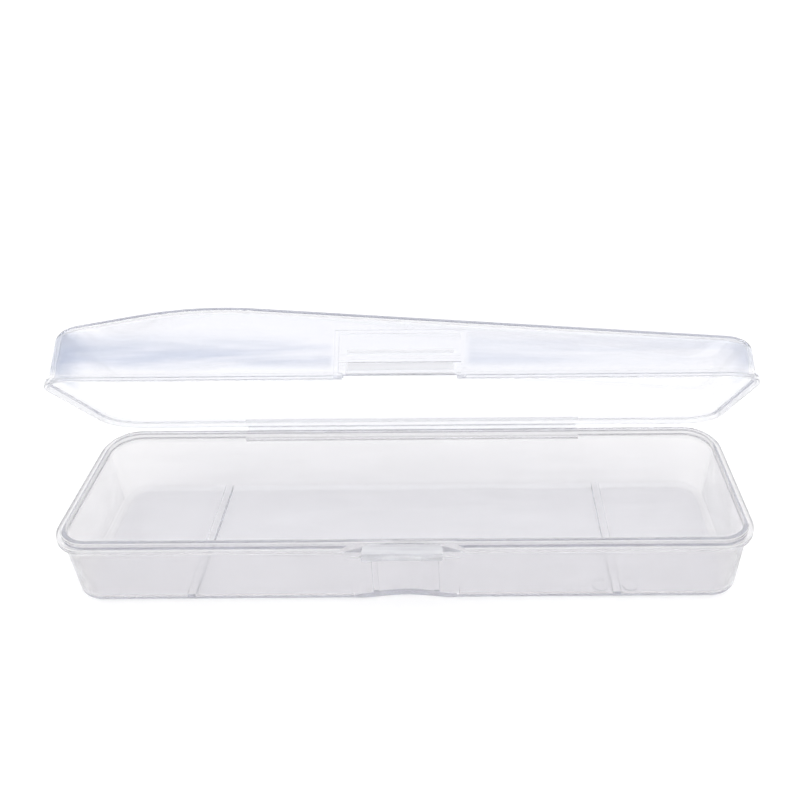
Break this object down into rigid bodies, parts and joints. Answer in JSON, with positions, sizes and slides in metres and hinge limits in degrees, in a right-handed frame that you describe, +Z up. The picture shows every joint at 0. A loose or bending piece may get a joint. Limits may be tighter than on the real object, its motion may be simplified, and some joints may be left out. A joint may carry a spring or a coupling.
{
  "type": "razor travel case",
  "caption": "Pocket travel case in clear plastic: a tray with a thumb scoop, a lid on a living hinge and a flap latch.",
  "frame": {"origin": "middle of the tray's flat underside, which the case stands on", "axes": "+X to the right along the case, +Y from the latch towards the hinge at the back, +Z up; drawn with the lid 48 degrees open"},
  "size_m": [0.165, 0.0627, 0.0652],
  "materials": {
    "tray_plastic": "clear polypropylene, lightly frosted by its mould, see-through",
    "lid_plastic": "clear polypropylene, glossy, see-through with a slight blue-grey tint"
  },
  "bodies": {
    "tray_body": {"tray": "tray_plastic", "tray_hinge_bar": "tray_plastic", "hinge_web_tray_side": "tray_plastic", "latch_web": "tray_plastic"},
    "lid_body": {"lid": "lid_plastic", "lid_hinge_bar": "lid_plastic", "hinge_web_lid_side": "lid_plastic", "latch_catch": "lid_plastic"},
    "latch_body": {"latch_flap": "tray_plastic"}
  },
  "joints": [
    {"name": "lid_hinge", "type": "hinge", "parent": "tray_body", "child": "lid_body", "pos_m": [0, 0.02445, 0.01915], "axis": [-1, 0, 0], "range_deg": [-48, 130]},
    {"name": "latch_hinge", "type": "hinge", "parent": "tray_body", "child": "latch_body", "pos_m": [0, -0.0231, 0.0194], "axis": [-1, 0, 0], "range_deg": [-55, 90]}
  ]
}
